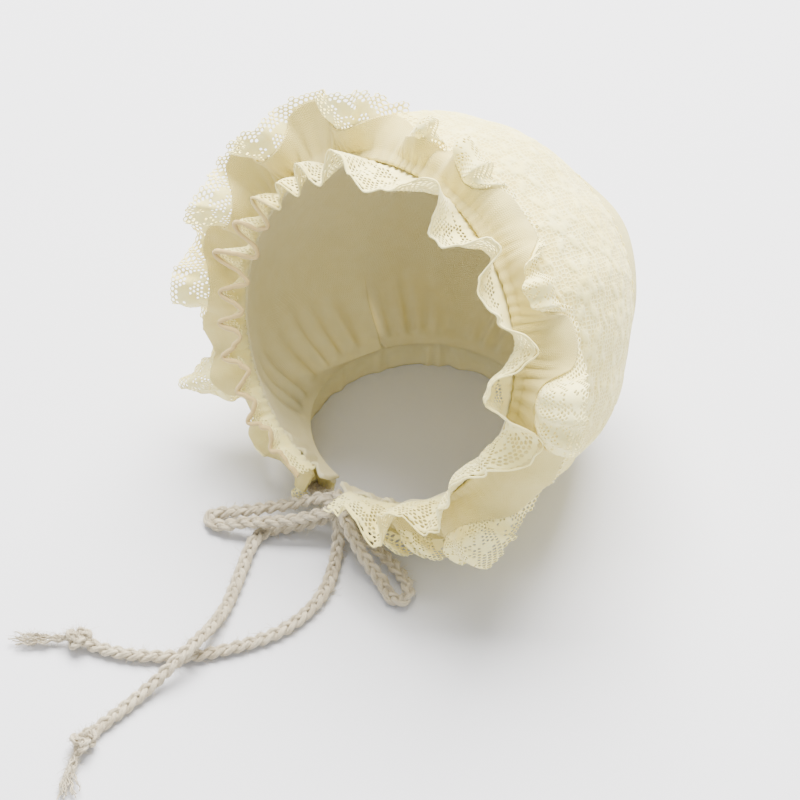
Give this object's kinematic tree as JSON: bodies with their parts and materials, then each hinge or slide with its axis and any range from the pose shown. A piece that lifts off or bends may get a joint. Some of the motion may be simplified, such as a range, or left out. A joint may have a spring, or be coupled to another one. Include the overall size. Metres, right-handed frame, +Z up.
{
  "type": "baby lace bonnet",
  "caption": "Baby bonnet: a round knit and lace crown, a wide gathered frill and a narrow ruffled lace frill round the face, and a braided cord tied in a bow with long tails.",
  "frame": {"origin": "on the surface that the bonnet stands on, under the middle of the box round its cloth", "axes": "the face opening looks towards -Y and up, +Z is up, +X is the wearer's left, and the free cord tails lie towards -Y"},
  "size_m": [0.1602, 0.2542, 0.1382],
  "materials": {
    "lace_over_knit": "soft ivory floral lace laid over cream jersey",
    "knit": "matt cream jersey knit",
    "lace": "ivory net lace with a rolled hem",
    "cord": "fuzzy oatmeal braided yarn",
    "loose_yarn": "unbraided yarn ends"
  },
  "bodies": {
    "root": {"side_panel": "lace_over_knit", "back_panel": "knit", "neck_casing": "knit", "outer_frill": "lace_over_knit", "inner_frill": "lace", "tie_left": "cord", "tie_right": "cord", "bow_knot": "cord", "bow_loop_left": "cord", "bow_loop_right": "cord", "tail_left": "cord", "tail_right": "cord", "end_knot_left": "cord", "end_knot_right": "cord", "tassel_left": "loose_yarn", "tassel_right": "loose_yarn"}
  },
  "joints": []
}
